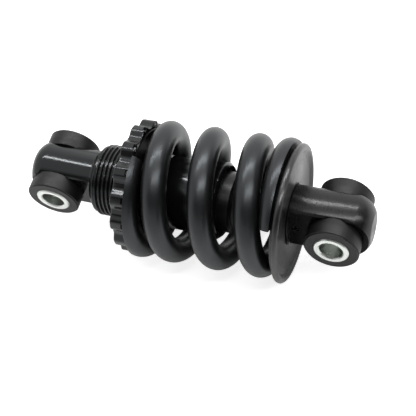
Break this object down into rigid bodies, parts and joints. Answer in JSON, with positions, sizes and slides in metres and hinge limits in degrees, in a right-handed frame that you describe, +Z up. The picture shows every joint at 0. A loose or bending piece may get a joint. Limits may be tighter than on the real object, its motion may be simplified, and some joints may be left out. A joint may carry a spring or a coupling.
{
  "type": "rear shock",
  "caption": "Coil-over rear shock for a small bike: threaded damper body with a preload nut, coil spring, spring retainer and bushed eyes at both ends.",
  "frame": {"origin": "centre of the body eye's bore, at the middle of its length", "axes": "+X along the shock to the shaft eye, +Y along the body eye's bore, +Z up"},
  "size_m": [0.1215, 0.0497, 0.0484],
  "materials": {
    "black_anodised": "glossy black anodised",
    "black_satin": "satin black anodised",
    "retainer_black": "satin black coat",
    "spring_black": "satin black powder coat",
    "nut_plastic": "moulded glossy black",
    "washer_steel": "black oxide",
    "bush_rubber": "matt moulded",
    "sleeve_steel": "machined, bright",
    "black_steel": "black oxide",
    "chrome_shaft": "hard chrome",
    "piston_alloy": "machined",
    "band_plastic": "filled PTFE",
    "shim_steel": "spring steel",
    "zinc_steel": "zinc plated",
    "head_alloy": "black anodised",
    "guide_bronze": "bronze backed PTFE",
    "seal_rubber": "nitrile",
    "stop_rubber": "moulded bump stop rubber"
  },
  "bodies": {
    "damper_body": {"damper_tube": "black_anodised", "body_bush_near": "bush_rubber", "body_bush_far": "bush_rubber", "coil_spring": "spring_black", "seal_head": "head_alloy", "guide_bush": "guide_bronze", "rod_seal": "seal_rubber", "rod_wiper": "seal_rubber", "retaining_ring": "black_steel", "seal_head_o_ring": "seal_rubber", "bump_stop": "stop_rubber", "top_out_ring": "stop_rubber"},
    "body_sleeve": {"body_eye_sleeve": "sleeve_steel"},
    "spring_seat": {"spring_seat_washer": "washer_steel"},
    "adjuster": {"preload_nut": "nut_plastic"},
    "lower_seat": {"spring_retainer": "retainer_black"},
    "shaft_side": {"shaft_eye": "black_satin", "shaft_bush_near": "bush_rubber", "shaft_bush_far": "bush_rubber", "lock_screw": "black_steel", "damper_shaft": "chrome_shaft", "piston": "piston_alloy", "piston_band": "band_plastic", "compression_shims": "shim_steel", "rebound_shims": "shim_steel", "piston_nut": "zinc_steel"},
    "shaft_sleeve": {"shaft_eye_sleeve": "sleeve_steel"},
    "gas_piston": {"floating_piston": "piston_alloy", "floating_piston_o_ring": "seal_rubber"}
  },
  "joints": [
    {"name": "damper_stroke", "type": "slide", "parent": "damper_body", "child": "lower_seat", "axis": [-1, 0, 0], "range_m": [0, 0.014], "stiffness_N_per_m": 5000, "springref_m": -0.004, "deforming": ["coil_spring"]},
    {"name": "shaft_turn", "type": "hinge", "parent": "lower_seat", "child": "shaft_side", "pos_m": [0.1, 0, 0], "axis": [1, 0, 0], "continuous": true},
    {"name": "shaft_sleeve_turn", "type": "hinge", "parent": "shaft_side", "child": "shaft_sleeve", "pos_m": [0.1, 0, 0], "axis": [0, 0.9912, -0.1323], "continuous": true},
    {"name": "body_sleeve_turn", "type": "hinge", "parent": "damper_body", "child": "body_sleeve", "pos_m": [0, 0, 0], "axis": [0, 1, 0], "continuous": true},
    {"name": "preload_travel", "type": "slide", "parent": "damper_body", "child": "spring_seat", "axis": [1, 0, 0], "range_m": [-0.006, 0]},
    {"name": "preload_turn", "type": "hinge", "parent": "spring_seat", "child": "adjuster", "pos_m": [0.03, 0, 0], "axis": [1, 0, 0], "range_deg": [-1441, 0]},
    {"name": "gas_piston_travel", "type": "slide", "parent": "damper_body", "child": "gas_piston", "axis": [-1, 0, 0], "range_m": [0, 0.0039]}
  ],
  "couplings": [
    {"joint": "preload_turn", "follows": "preload_travel", "rad_per_m": 4188.8},
    {"joint": "gas_piston_travel", "follows": "damper_stroke", "ratio": 0.27701}
  ]
}
